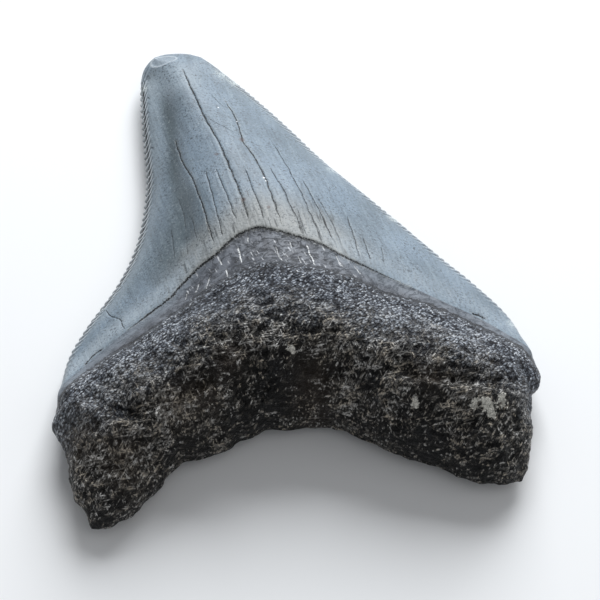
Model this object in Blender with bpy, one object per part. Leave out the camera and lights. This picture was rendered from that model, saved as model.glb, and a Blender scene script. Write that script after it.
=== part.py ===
"""One fossil megalodon tooth, lying on its flat outer face.

The crown points along +Y, the root lies towards -Y and the bulging inner face looks up (+Z).
The longer (mesial) cutting edge is on the +X side.

The surface is made of two sheets, the inner and the outer face, which share their rim.  Both
are the same square patch (u, v) bent to the outline of the tooth: u runs from the distal to
the mesial side, v from the base of the root to the tip.  Starting from a coarse grid,
triangles are halved until each is small enough for the detail where it lies.

Lengths below are in millimetres, and the finished mesh is in metres.
"""
import math

import bpy
import numpy as np

MM = 0.001

# The curves that bound the tooth as seen from straight above.  They meet at the point of each
# root lobe and at the two ends of the blunt tip.
DISTAL_ROOT = [(-22.4, -26.6), (-23.9, -24.9), (-24.8, -23.3), (-25.3, -21.2), (-25.4, -19.4),
               (-25.9, -18.2), (-26.9, -17.0), (-27.4, -15.4), (-27.2, -13.6), (-27.1, -11.5)]
DISTAL_CROWN = [(-27.1, -11.5), (-26.3, -6.5), (-24.5, -2.6), (-22.1, 1.4), (-20.2, 5.4),
                (-19.0, 9.6), (-18.5, 13.8), (-18.4, 18.0), (-18.9, 22.5), (-19.5, 28.4),
                (-19.8, 32.6)]
TIP = [(-19.8, 32.6), (-19.5, 34.4), (-18.4, 36.0), (-16.6, 36.8), (-14.3, 36.9),
       (-12.4, 36.2), (-10.8, 35.0)]
MESIAL_ROOT = [(24.3, -21.3), (25.1, -19.6), (25.5, -17.0), (25.8, -14.0), (26.0, -11.6),
               (26.8, -10.6), (27.0, -9.4), (26.5, -7.2), (25.9, -5.4)]
MESIAL_CROWN = [(25.9, -5.4), (24.2, -1.3), (20.9, 2.7), (15.4, 8.2), (9.9, 13.8), (3.9, 19.5),
                (-1.2, 25.4), (-6.6, 31.2), (-10.8, 35.0)]
BASE = [(-22.4, -26.6), (-20.9, -26.7), (-19.4, -26.0), (-17.6, -24.7), (-16.3, -23.5),
        (-15.4, -22.2), (-14.5, -20.6), (-13.3, -19.2), (-11.6, -18.7), (-9.4, -18.2),
        (-7.6, -17.4), (-6.2, -16.4), (-3.9, -15.4), (0.0, -14.9), (3.6, -14.8), (6.7, -15.9),
        (9.7, -17.7), (11.9, -18.6), (15.5, -19.7), (18.7, -21.3), (22.0, -21.9), (24.3, -21.3)]

# Foot of the enamel on the inner face, and below it the upper limit of the bare root.  The
# strip between the two is the bourlette.
ENAMEL_FOOT = [(-27.2, -11.6), (-25.1, -9.7), (-22.1, -6.9), (-19.3, -4.8), (-16.8, -2.8),
               (-14.6, -1.1), (-13.5, 0.3), (-11.4, 2.3), (-9.7, 3.4), (-8.4, 4.7),
               (-7.0, 5.9), (-5.7, 6.5), (-4.6, 6.7), (-3.2, 6.3), (-0.2, 5.4), (2.2, 4.8),
               (4.5, 3.5), (6.9, 2.5), (12.0, 0.7), (15.9, -0.9), (20.2, -2.5), (24.0, -5.2),
               (26.4, -7.2)]
ROOT_TOP = [(-27.6, -14.2), (-26.0, -12.0), (-24.1, -9.9), (-22.3, -8.9), (-20.3, -7.7),
            (-18.5, -6.9), (-15.6, -5.0), (-13.1, -3.0), (-10.3, -0.9), (-8.0, -0.1),
            (-6.5, 0.9), (-4.5, 1.5), (-2.4, 1.6), (-0.2, 1.2), (3.7, 0.8), (6.9, -0.1),
            (11.6, -1.2), (15.8, -2.2), (20.4, -3.9), (24.5, -6.6), (26.8, -8.4)]

# Spot heights (x, y, z) of the inner face before its rim is turned down.
CROWN_SPOTS = [(-16.5, 35.5, 4.2), (-19.3, 30.0, 3.0), (-14.0, 30.0, 5.4), (-8.0, 31.5, 3.1),
               (-18.8, 22.0, 3.0), (-12.5, 22.0, 7.0), (-6.5, 22.0, 6.8), (1.0, 22.0, 3.3),
               (-18.3, 14.0, 3.1), (-12.0, 14.0, 8.1), (-5.0, 14.0, 8.9), (3.0, 14.0, 7.0),
               (8.9, 14.0, 3.4), (-19.7, 7.0, 3.2), (-13.0, 7.5, 7.6), (-4.6, 8.0, 9.9),
               (5.0, 6.5, 8.2), (12.0, 6.0, 5.8), (16.5, 6.5, 3.3), (-23.8, -2.0, 3.5),
               (-17.2, -1.0, 6.4), (14.5, 1.6, 6.3), (20.8, 2.2, 3.6)]
ROOT_SPOTS = [(-4.6, 1.7, 11.2), (-13.1, -2.6, 8.9), (-22.0, -7.6, 6.0), (10.8, -1.3, 8.4),
              (19.5, -3.5, 6.2), (24.8, -4.0, 4.6), (-26.4, -10.6, 5.0), (-25.1, -14.0, 8.0),
              (-20.6, -12.5, 10.2), (-16.2, -11.2, 12.0), (-10.8, -8.9, 14.0),
              (-5.4, -6.4, 14.6), (3.2, -8.0, 14.6), (10.8, -9.3, 13.5), (16.3, -9.9, 12.0),
              (21.9, -10.2, 10.0), (26.0, -10.4, 7.4), (-25.5, -17.5, 7.0), (-22.0, -19.5, 8.6),
              (-17.2, -18.0, 10.2), (-10.7, -16.0, 11.4), (-5.4, -14.0, 12.2),
              (1.8, -13.4, 12.4), (7.8, -14.3, 12.0), (13.2, -16.0, 11.0), (19.0, -17.0, 10.0),
              (25.0, -16.0, 7.6), (-22.4, -25.4, 6.0), (-18.5, -23.0, 7.6),
              (23.4, -20.6, 7.0), (18.0, -20.4, 8.6)]

# Long ridges (+) and hollows (-): height, half width, points along it.
INNER_RELIEF = [
    (-0.60, 1.4, [(-17.8, 32.5), (-16.8, 29.4), (-16.1, 26.1), (-15.4, 21.8), (-15.0, 17.7),
                  (-14.2, 13.8), (-13.4, 10.2), (-13.2, 7.0)]),
    (0.80, 0.9, [(1.7, -13.1), (3.8, -13.5), (5.6, -13.8), (7.8, -14.5), (9.9, -15.1),
                 (11.6, -15.8)]),
    (0.80, 0.9, [(11.1, -14.4), (13.1, -14.6), (15.5, -14.9), (18.2, -15.1), (21.6, -14.8),
                 (24.6, -13.6)]),
    (-0.80, 1.0, [(1.7, -12.0), (4.8, -12.3), (8.6, -12.7), (11.8, -12.9), (15.1, -13.1),
                  (18.3, -13.5), (21.6, -13.2)]),
    (0.75, 0.9, [(-19.6, -18.6), (-17.4, -18.2), (-15.9, -17.9), (-14.5, -17.4), (-13.2, -16.8),
                 (-12.0, -16.5), (-10.1, -15.6), (-8.4, -14.9)]),
    (-0.70, 1.0, [(-19.4, -17.0), (-17.3, -16.7), (-15.5, -16.4), (-13.9, -15.8), (-12.6, -15.2),
                  (-11.6, -14.6), (-10.3, -13.9)]),
    (-0.35, 1.0, [(-24.8, -18.4), (-22.6, -18.9), (-20.4, -20.0), (-18.6, -22.0)]),
    (-0.40, 0.7, [(27.2, -11.4), (25.0, -11.6), (22.8, -12.8)]),
]
OUTER_RELIEF = [
    (-0.5, 2.4, [(-17.0, -8.0), (-9.0, -6.0), (-1.0, -5.4), (8.0, -7.0), (16.0, -9.0)]),
]

# Rim: its height above the plane that the tooth lies on, and how far in the faces round over.
CROWN_RIM_Z = 2.6
ROOT_SIDE_RIM_Z = 4.0
ROOT_BASE_RIM_Z = 2.0
CROWN_RIM_ROUND = 0.9
ROOT_SIDE_ROUND = 3.6
ROOT_BASE_ROUND = 5.0
CROWN_BACK_ROUND = 7.0
ROOT_BACK_ROUND = 4.5

# Lumps, as height and size: on the whole tooth, two sizes on the root, and on the walls where
# the inner face turns up from the rim.
TOOTH_LUMPS = (0.10, 9.0)
ROOT_LUMPS = (0.30, 5.5)
ROOT_KNOBS = (0.16, 2.6)
WALL_LUMPS = (0.55, 3.6)

# Uneven outline of the root: how far it wanders, and over what length.
EDGE_BUMPS = (0.22, 2.6)

# The surface drops by this much at the foot of the enamel, and rises again on to the bare root.
ENAMEL_STEP = 0.32
ROOT_STEP = 0.22

# The blunt tip is worn to a small flat, which falls away towards the tip.
FACET_Z = 2.9
FACET_SLOPE = 0.62
FACET_FROM_Y = 33.0
TIP_Y = 36.9

# One serration is 1/128 of a side's parameter.  The crown takes the upper part of each side's
# parameter: 52 serrations on the distal side and 64 on the mesial side.  They fade out over
# SERRATION_REACH, leaning towards the tip by SERRATION_SLANT of their spacing per millimetre.
SERRATIONS_PER_SIDE = 128
DISTAL_CROWN_START = 1.0 - 52 / 128
MESIAL_CROWN_START = 1.0 - 64 / 128
DISTAL_SERRATION_DEPTH = 0.17
MESIAL_SERRATION_DEPTH = 0.09
SERRATION_HEIGHT = 0.10
SERRATION_REACH = 0.9
SERRATION_SLANT = 0.55

# Longest triangle sides: along the saw edge (as a share of a side), on the rest of the rim and
# their growth away from it, on each region, and at the foot of the enamel.
RIM_STEP = 1.0 / (2 * SERRATIONS_PER_SIDE)
RIM_SIDE = 0.75
SIDE_GROWTH = 0.9
CROWN_SIDE = 3.0
ROOT_SIDE = 1.9
OUTER_SIDE = 5.0
STEP_SIDE = 1.0

# The patch is drawn together towards the base of the root over this first share of v.
CROWDED_BASE = 0.25

# Which sheet a vertex belongs to; the rim belongs to both.
INNER = 0
OUTER = 1
RIM = -1


def dense(points, pieces=8):
    """Catmull-Rom curve through the points, as a fine polyline."""
    p = np.array(points, dtype=float)
    p = np.vstack([2 * p[0] - p[1], p, 2 * p[-1] - p[-2]])
    t = np.linspace(0.0, 1.0, pieces, endpoint=False)[:, None]
    spans = []
    for a, b, c, d in zip(p[:-3], p[1:-2], p[2:-1], p[3:]):
        bend = (2 * a - 5 * b + 4 * c - d) * t ** 2 + (3 * b - a - 3 * c + d) * t ** 3
        spans.append(0.5 * (2 * b + (c - a) * t + bend))
    return np.vstack(spans + [p[-2:-1]])


def travel(curve, share):
    """Points at the given shares of a polyline's length."""
    step = np.hypot(*np.diff(curve, axis=0).T)
    run = np.concatenate([[0.0], np.cumsum(step)]) / step.sum()
    return np.column_stack([np.interp(share, run, curve[:, k]) for k in (0, 1)])


def distance(xy, curve):
    """Distance of each point from a polyline."""
    best = np.full(len(xy), np.inf)
    for a, b in zip(curve[:-1], curve[1:]):
        ab = b - a
        t = np.clip((xy - a) @ ab / (ab @ ab), 0.0, 1.0)
        best = np.minimum(best, np.hypot(*(xy - a - t[:, None] * ab).T))
    return best


def smoothstep(t):
    t = np.clip(t, 0.0, 1.0)
    return t * t * (3.0 - 2.0 * t)


def lumps(xy, size, seed):
    """Smooth uneven swelling, mostly between -1 and 1."""
    rng = np.random.default_rng(seed)
    total = np.zeros(len(xy))
    waves = 7
    for _ in range(waves):
        angle = rng.uniform(0.0, math.tau)
        pace = math.tau / (size * rng.uniform(0.75, 1.6))
        along = xy @ np.array([math.cos(angle), math.sin(angle)])
        total += np.sin(along * pace + rng.uniform(0.0, math.tau))
    return 2.0 * total / waves


def thin_plate(spots):
    """Weights of the smooth sheet through the spot heights."""
    n = len(spots)
    r = np.hypot(spots[:, None, 0] - spots[None, :, 0], spots[:, None, 1] - spots[None, :, 1])
    plane = np.column_stack([np.ones(n), spots[:, :2]])
    system = np.zeros((n + 3, n + 3))
    system[:n, :n] = r ** 2 * np.log(r + 1e-9)
    system[:n, n:] = plane
    system[n:, :n] = plane.T
    return np.linalg.solve(system, np.concatenate([spots[:, 2], np.zeros(3)]))


DISTAL = (dense(DISTAL_ROOT), dense(DISTAL_CROWN), DISTAL_CROWN_START)
MESIAL = (dense(MESIAL_ROOT), dense(MESIAL_CROWN), MESIAL_CROWN_START)
TIP_CURVE = dense(TIP)
BASE_CURVE = dense(BASE)
SIDES_CURVE = np.vstack([DISTAL[0], DISTAL[1][1:], TIP_CURVE[1:], MESIAL[1][-2::-1],
                         MESIAL[0][-2::-1]])
ENAMEL_CURVE = dense(ENAMEL_FOOT)
ROOT_CURVE = dense(ROOT_TOP)
SPOTS = np.array(CROWN_SPOTS + ROOT_SPOTS)
SHEET = thin_plate(SPOTS)


def sheet_height(xy):
    """Height of the inner face before its rim is turned down."""
    total = SHEET[-3] + xy @ SHEET[-2:]
    for (x, y, _), weight in zip(SPOTS, SHEET[:-3]):
        r = np.hypot(xy[:, 0] - x, xy[:, 1] - y)
        total += weight * r ** 2 * np.log(r + 1e-9)
    return total


def side(curves, v):
    """Points of one side of the outline, from the root lobe (v = 0) to the tip (v = 1)."""
    root, crown, start = curves
    low = travel(root, np.clip(v / start, 0.0, 1.0))
    high = travel(crown, np.clip((v - start) / (1.0 - start), 0.0, 1.0))
    return np.where((v < start)[:, None], low, high)


def plan(u, v):
    """Points of the patch bent to the outline, with its low rows crowded to the base."""
    low_part = np.minimum(v / CROWDED_BASE, 1.0)
    v = np.where(v < CROWDED_BASE, CROWDED_BASE * (2 * low_part ** 2 - low_part ** 3), v)
    s = u[:, None]
    t = v[:, None]
    across = (1 - s) * side(DISTAL, v) + s * side(MESIAL, v)
    along = (1 - t) * travel(BASE_CURVE, u) + t * travel(TIP_CURVE, u)
    low = (1 - s) * BASE_CURVE[0] + s * BASE_CURVE[-1]
    high = (1 - s) * TIP_CURVE[0] + s * TIP_CURVE[-1]
    return across + along - (1 - t) * low - t * high


def outward(u, v):
    """Direction out of the nearer side of the outline."""
    before = np.maximum(v - RIM_STEP, 0.0)
    after = np.minimum(v + RIM_STEP, 1.0)
    distal = side(DISTAL, after) - side(DISTAL, before)
    mesial = side(MESIAL, before) - side(MESIAL, after)
    run = np.where((u < 0.5)[:, None], distal, mesial)
    run /= np.hypot(*run.T)[:, None]
    return np.column_stack([-run[:, 1], run[:, 0]])


def serration(u, v, rim_distance):
    """The saw edge, from -1 (notch) to 1 (point), and zero away from the cutting edges."""
    start = np.where(u < 0.5, DISTAL_CROWN_START, MESIAL_CROWN_START)
    strength = smoothstep((v - start) * 10.0) * smoothstep((1.0 - v) * 40.0)
    phase = v * SERRATIONS_PER_SIDE - SERRATION_SLANT * rim_distance
    return strength * np.cos(math.tau * phase) * np.exp(-rim_distance / SERRATION_REACH)


def turn_up(gap, radius, along, seed):
    """One at the rim, falling to zero where the face has finished turning up from it."""
    height, size = WALL_LUMPS
    angle = np.arccos(1.0 - np.clip(gap / radius, 0.0, 1.0))
    middle = 2.6 * np.sin(angle) ** 2 * np.cos(angle)
    up_the_wall = angle * ROOT_BASE_ROUND
    sway = height * middle * lumps(np.column_stack([along, up_the_wall]), size, seed)
    return 1.0 - np.clip((gap + sway * radius / ROOT_BASE_ROUND) / radius, 0.0, 1.0)


def ridges(xy, features):
    total = np.zeros(len(xy))
    for height, half_width, points in features:
        total += height * np.exp(-(distance(xy, dense(points, 4)) / half_width) ** 2)
    return total


def below(xy, curve):
    """How far each point lies below (-Y of) a curve that runs along X."""
    return np.interp(xy[:, 0], *curve.T) - xy[:, 1]


def shape(u, v, face):
    """Surface points, and their distances from the rim; face is INNER, OUTER or RIM."""
    xy = plan(u, v)
    to_side = distance(xy, SIDES_CURVE)
    to_base = distance(xy, BASE_CURVE)
    to_rim = np.minimum(to_side, to_base)
    saw = serration(u, v, to_side)
    saw_depth = np.where(u < 0.5, DISTAL_SERRATION_DEPTH, MESIAL_SERRATION_DEPTH)
    xy = xy + (saw_depth * saw)[:, None] * outward(u, v)

    # Rows near the foot of the enamel are drawn together there, so that its step is crisp.
    gap = below(xy, ENAMEL_CURVE)
    gather = 0.8 * np.exp(-(gap / 0.5) ** 2) * smoothstep(to_side / 1.5)
    xy[:, 1] += np.where(face == INNER, gap * gather, 0.0)

    below_enamel = below(xy, ENAMEL_CURVE)
    below_root_top = below(xy, ROOT_CURVE)
    rootness = smoothstep(below_root_top / 2.4 + 0.4)
    uneven = np.column_stack([lumps(xy, EDGE_BUMPS[1], 41), lumps(xy, EDGE_BUMPS[1], 42)])
    xy = xy + EDGE_BUMPS[0] * (rootness * np.exp(-to_rim / 3.0))[:, None] * uneven
    rim_z = CROWN_RIM_Z + rootness * (ROOT_SIDE_RIM_Z - CROWN_RIM_Z)
    rim_z -= rootness * (ROOT_SIDE_RIM_Z - ROOT_BASE_RIM_Z) * np.exp(-to_base / 2.5)

    side_round = CROWN_RIM_ROUND + rootness * (ROOT_SIDE_ROUND - CROWN_RIM_ROUND)
    from_side = turn_up(to_side, side_round, xy[:, 1], 21)
    from_base = turn_up(to_base, ROOT_BASE_ROUND, xy[:, 0], 22)
    turned = np.sqrt((1.0 - from_side ** 2) * (1.0 - from_base ** 2))

    inner = sheet_height(xy) + ridges(xy, INNER_RELIEF) + SERRATION_HEIGHT * saw
    inner += TOOTH_LUMPS[0] * smoothstep(to_rim / 2.0) * lumps(xy, TOOTH_LUMPS[1], 3)
    inner += rootness * ROOT_LUMPS[0] * lumps(xy, ROOT_LUMPS[1], 11)
    inner += rootness * ROOT_KNOBS[0] * lumps(xy, ROOT_KNOBS[1], 12)
    inner -= ENAMEL_STEP * smoothstep(below_enamel / 0.5) * smoothstep(to_side / 2.0)
    inner += ROOT_STEP * smoothstep(below_root_top / 0.9)
    inner = rim_z + np.maximum(inner - rim_z, 0.15) * turned
    facet = np.maximum(FACET_Z + FACET_SLOPE * (TIP_Y - xy[:, 1]), rim_z)
    inner = np.where(xy[:, 1] > FACET_FROM_Y, np.minimum(inner, facet), inner)

    back_round = CROWN_BACK_ROUND + rootness * (ROOT_BACK_ROUND - CROWN_BACK_ROUND)
    back = 1.0 - np.clip(to_rim / back_round, 0.0, 1.0)
    outer = rim_z * (rootness * (1.0 - np.sqrt(1.0 - back ** 2)) + (1.0 - rootness) * back ** 2)
    outer -= (1.0 - back) * ridges(xy, OUTER_RELIEF)

    z = np.where(face == INNER, inner, np.where(face == OUTER, outer, rim_z))
    return np.column_stack([xy, z]), to_rim


def start_grid(columns=8, rows=8):
    """Coarse closed mesh of the patch: an inner and an outer sheet sharing their rim.

    A cell's diagonal starts at the patch's nearest corner, so that none joins two sides.
    """
    u, v, face, index = [], [], [], {}

    def vertex(i, j, sheet):
        on_rim = i in (0, columns) or j in (0, rows)
        key = (i, j, RIM if on_rim else sheet)
        if key not in index:
            index[key] = len(u)
            u.append(i / columns)
            v.append(j / rows)
            face.append(key[2])
        return index[key]

    triangles = []
    for sheet in (INNER, OUTER):
        for i in range(columns):
            for j in range(rows):
                a = vertex(i, j, sheet)
                b = vertex(i + 1, j, sheet)
                c = vertex(i + 1, j + 1, sheet)
                d = vertex(i, j + 1, sheet)
                rising = (i < columns / 2) == (j < rows / 2)
                pair = [(a, b, c), (a, c, d)] if rising else [(a, b, d), (b, c, d)]
                triangles += pair if sheet == INNER else [t[::-1] for t in pair]
    return np.array(u), np.array(v), np.array(face), np.array(triangles)


def side_wanted(face, middle, to_rim):
    """Longest triangle side allowed at each point of the surface."""
    bare = smoothstep(below(middle, ROOT_CURVE) + 0.5)
    inner = CROWN_SIDE + (ROOT_SIDE - CROWN_SIDE) * bare
    limit = np.where(face == OUTER, OUTER_SIDE, inner)
    limit = np.minimum(limit, RIM_SIDE + bare + SIDE_GROWTH * to_rim)
    near_step = STEP_SIDE + 0.7 * np.abs(below(middle, ENAMEL_CURVE))
    return np.where(face == INNER, np.minimum(limit, near_step), limit)


def coarse_edges(edges, surface):
    """Which edges are too long for the detail around them."""
    u, v, face, where, to_rim = surface
    a, b = edges
    length = np.linalg.norm(where[a] - where[b], axis=1)
    mid_face = np.maximum(face[a], face[b])
    wanted = side_wanted(mid_face, (where[a] + where[b]) / 2, (to_rim[a] + to_rim[b]) / 2)
    start = np.where(u[a] + u[b] < 1.0, DISTAL_CROWN_START, MESIAL_CROWN_START)
    mid_v = (v[a] + v[b]) / 2
    sawn = (mid_face == RIM) & (mid_v > start) & (mid_v < 1.0)
    return np.where(sawn, np.abs(v[a] - v[b]) > 1.01 * RIM_STEP, length > wanted), length


def halve(surface, triangles):
    """Halve the longest side of each triangle that is too coarse, and of its neighbours."""
    u, v, face, where, to_rim = surface
    low = np.minimum(triangles, np.roll(triangles, -1, axis=1))
    high = np.maximum(triangles, np.roll(triangles, -1, axis=1))
    keys, name = np.unique(low * len(u) + high, return_inverse=True)
    name = name.reshape(-1, 3)
    a, b = keys // len(u), keys % len(u)
    marked, length = coarse_edges((a, b), surface)
    if not marked.any():
        return None
    rows = np.arange(len(triangles))
    longest = name[rows, np.argmax(length[name], axis=1)]
    while True:
        needed = marked[name].any(axis=1) & ~marked[longest]
        if not needed.any():
            break
        marked[longest[needed]] = True

    a, b = a[marked], b[marked]
    middle = [(u[a] + u[b]) / 2, (v[a] + v[b]) / 2, np.maximum(face[a], face[b])]
    grown = [np.concatenate(pair) for pair in zip(surface, middle + list(shape(*middle)))]
    number = np.full(len(keys), -1)
    number[marked] = len(u) + np.arange(len(a))

    turn = (np.argmax(length[name], axis=1)[:, None] + np.arange(3)) % 3
    p, q, r = np.take_along_axis(triangles, turn, axis=1).T
    pq, qr, rp = number[np.take_along_axis(name, turn, axis=1)].T
    split = pq >= 0
    pieces = [triangles[~split]]
    for corners, choose in (((p, pq, r), split & (rp < 0)), ((p, pq, rp), split & (rp >= 0)),
                            ((rp, pq, r), split & (rp >= 0)), ((pq, q, r), split & (qr < 0)),
                            ((pq, q, qr), split & (qr >= 0)), ((pq, qr, r), split & (qr >= 0))):
        pieces.append(np.column_stack(corners)[choose])
    return grown, np.vstack(pieces)


def tooth_surface():
    """Vertices, in millimetres, and triangles of the closed tooth."""
    u, v, face, triangles = start_grid()
    surface = [u, v, face, *shape(u, v, face)]
    while True:
        finer = halve(surface, triangles)
        if finer is None:
            return surface[3], triangles
        surface, triangles = finer


def fossil_material():
    stone = bpy.data.materials.new("fossil_tooth")
    stone.use_nodes = True
    shader = stone.node_tree.nodes["Principled BSDF"]
    shader.inputs["Base Color"].default_value = (0.16, 0.18, 0.20, 1.0)
    shader.inputs["Roughness"].default_value = 0.45
    return stone


def build_tooth():
    where, triangles = tooth_surface()
    low = where.min(axis=0)
    high = where.max(axis=0)
    middle_of_base = np.array([(low[0] + high[0]) / 2, (low[1] + high[1]) / 2, low[2]])
    mesh = bpy.data.meshes.new("tooth")
    mesh.from_pydata(((where - middle_of_base) * MM).tolist(), [], triangles.tolist())
    mesh.materials.append(fossil_material())
    collection = bpy.data.collections.new("megalodon_tooth")
    bpy.context.scene.collection.children.link(collection)
    collection.objects.link(bpy.data.objects.new("tooth", mesh))


for old in list(bpy.data.objects):
    bpy.data.objects.remove(old, do_unlink=True)
build_tooth()
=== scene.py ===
"""Looks of the fossil megalodon tooth: the fine surface, its materials, light and camera.

The CAD node "tooth" is replaced by one fine mesh of the same form, which adds the cracks of
the enamel, the grain of the bone and small chips.  Shapes are worked out in millimetres, and
the mesh is in metres, centred where the frame has the tooth.
"""
import math

import bpy
import numpy as np
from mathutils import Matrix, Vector, noise


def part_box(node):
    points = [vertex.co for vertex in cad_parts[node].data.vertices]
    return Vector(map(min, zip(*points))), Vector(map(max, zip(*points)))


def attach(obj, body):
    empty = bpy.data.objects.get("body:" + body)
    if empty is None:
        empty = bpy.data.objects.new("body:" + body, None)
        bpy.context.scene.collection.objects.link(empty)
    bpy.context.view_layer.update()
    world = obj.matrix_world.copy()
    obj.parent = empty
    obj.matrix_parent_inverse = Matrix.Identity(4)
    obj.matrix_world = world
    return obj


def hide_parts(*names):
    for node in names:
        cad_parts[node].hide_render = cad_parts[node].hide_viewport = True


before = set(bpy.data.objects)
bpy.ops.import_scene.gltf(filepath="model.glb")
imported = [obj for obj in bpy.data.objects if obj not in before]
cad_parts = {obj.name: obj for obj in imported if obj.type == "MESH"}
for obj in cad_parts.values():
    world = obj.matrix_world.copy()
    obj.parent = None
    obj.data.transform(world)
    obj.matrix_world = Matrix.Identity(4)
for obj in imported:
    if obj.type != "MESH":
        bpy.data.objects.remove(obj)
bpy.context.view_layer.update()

TOOTH_LOW, TOOTH_HIGH = (np.array(corner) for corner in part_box("tooth"))
MM = 0.001

# ---- The form of the tooth, as the CAD has it ----
# Outlines are points (x, y), spots are (x, y, height), and each line of relief is its height,
# half width and points.
DISTAL_ROOT = [
    (-22.4, -26.6), (-23.9, -24.9), (-24.8, -23.3), (-25.3, -21.2), (-25.4, -19.4),
    (-25.9, -18.2), (-26.9, -17.0), (-27.4, -15.4), (-27.2, -13.6), (-27.1, -11.5)
]
DISTAL_CROWN = [
    (-27.1, -11.5), (-26.3, -6.5), (-24.5, -2.6), (-22.1, 1.4), (-20.2, 5.4), (-19.0, 9.6),
    (-18.5, 13.8), (-18.4, 18.0), (-18.9, 22.5), (-19.5, 28.4), (-19.8, 32.6)
]
TIP = [
    (-19.8, 32.6), (-19.5, 34.4), (-18.4, 36.0), (-16.6, 36.8), (-14.3, 36.9), (-12.4, 36.2),
    (-10.8, 35.0)
]
MESIAL_ROOT = [
    (24.3, -21.3), (25.1, -19.6), (25.5, -17.0), (25.8, -14.0), (26.0, -11.6), (26.8, -10.6),
    (27.0, -9.4), (26.5, -7.2), (25.9, -5.4)
]
MESIAL_CROWN = [
    (25.9, -5.4), (24.2, -1.3), (20.9, 2.7), (15.4, 8.2), (9.9, 13.8), (3.9, 19.5), (-1.2, 25.4),
    (-6.6, 31.2), (-10.8, 35.0)
]
BASE = [
    (-22.4, -26.6), (-20.9, -26.7), (-19.4, -26.0), (-17.6, -24.7), (-16.3, -23.5),
    (-15.4, -22.2), (-14.5, -20.6), (-13.3, -19.2), (-11.6, -18.7), (-9.4, -18.2), (-7.6, -17.4),
    (-6.2, -16.4), (-3.9, -15.4), (0.0, -14.9), (3.6, -14.8), (6.7, -15.9), (9.7, -17.7),
    (11.9, -18.6), (15.5, -19.7), (18.7, -21.3), (22.0, -21.9), (24.3, -21.3)
]
ENAMEL_FOOT = [
    (-27.2, -11.6), (-25.1, -9.7), (-22.1, -6.9), (-19.3, -4.8), (-16.8, -2.8), (-14.6, -1.1),
    (-13.5, 0.3), (-11.4, 2.3), (-9.7, 3.4), (-8.4, 4.7), (-7.0, 5.9), (-5.7, 6.5), (-4.6, 6.7),
    (-3.2, 6.3), (-0.2, 5.4), (2.2, 4.8), (4.5, 3.5), (6.9, 2.5), (12.0, 0.7), (15.9, -0.9),
    (20.2, -2.5), (24.0, -5.2), (26.4, -7.2)
]
ROOT_TOP = [
    (-27.6, -14.2), (-26.0, -12.0), (-24.1, -9.9), (-22.3, -8.9), (-20.3, -7.7), (-18.5, -6.9),
    (-15.6, -5.0), (-13.1, -3.0), (-10.3, -0.9), (-8.0, -0.1), (-6.5, 0.9), (-4.5, 1.5),
    (-2.4, 1.6), (-0.2, 1.2), (3.7, 0.8), (6.9, -0.1), (11.6, -1.2), (15.8, -2.2), (20.4, -3.9),
    (24.5, -6.6), (26.8, -8.4)
]
CROWN_SPOTS = [
    (-16.5, 35.5, 4.2), (-19.3, 30.0, 3.0), (-14.0, 30.0, 5.4), (-8.0, 31.5, 3.1),
    (-18.8, 22.0, 3.0), (-12.5, 22.0, 7.0), (-6.5, 22.0, 6.8), (1.0, 22.0, 3.3),
    (-18.3, 14.0, 3.1), (-12.0, 14.0, 8.1), (-5.0, 14.0, 8.9), (3.0, 14.0, 7.0), (8.9, 14.0, 3.4),
    (-19.7, 7.0, 3.2), (-13.0, 7.5, 7.6), (-4.6, 8.0, 9.9), (5.0, 6.5, 8.2), (12.0, 6.0, 5.8),
    (16.5, 6.5, 3.3), (-23.8, -2.0, 3.5), (-17.2, -1.0, 6.4), (14.5, 1.6, 6.3), (20.8, 2.2, 3.6)
]
ROOT_SPOTS = [
    (-4.6, 1.7, 11.2), (-13.1, -2.6, 8.9), (-22.0, -7.6, 6.0), (10.8, -1.3, 8.4),
    (19.5, -3.5, 6.2), (24.8, -4.0, 4.6), (-26.4, -10.6, 5.0), (-25.1, -14.0, 8.0),
    (-20.6, -12.5, 10.2), (-16.2, -11.2, 12.0), (-10.8, -8.9, 14.0), (-5.4, -6.4, 14.6),
    (3.2, -8.0, 14.6), (10.8, -9.3, 13.5), (16.3, -9.9, 12.0), (21.9, -10.2, 10.0),
    (26.0, -10.4, 7.4), (-25.5, -17.5, 7.0), (-22.0, -19.5, 8.6), (-17.2, -18.0, 10.2),
    (-10.7, -16.0, 11.4), (-5.4, -14.0, 12.2), (1.8, -13.4, 12.4), (7.8, -14.3, 12.0),
    (13.2, -16.0, 11.0), (19.0, -17.0, 10.0), (25.0, -16.0, 7.6), (-22.4, -25.4, 6.0),
    (-18.5, -23.0, 7.6), (23.4, -20.6, 7.0), (18.0, -20.4, 8.6)
]
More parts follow.
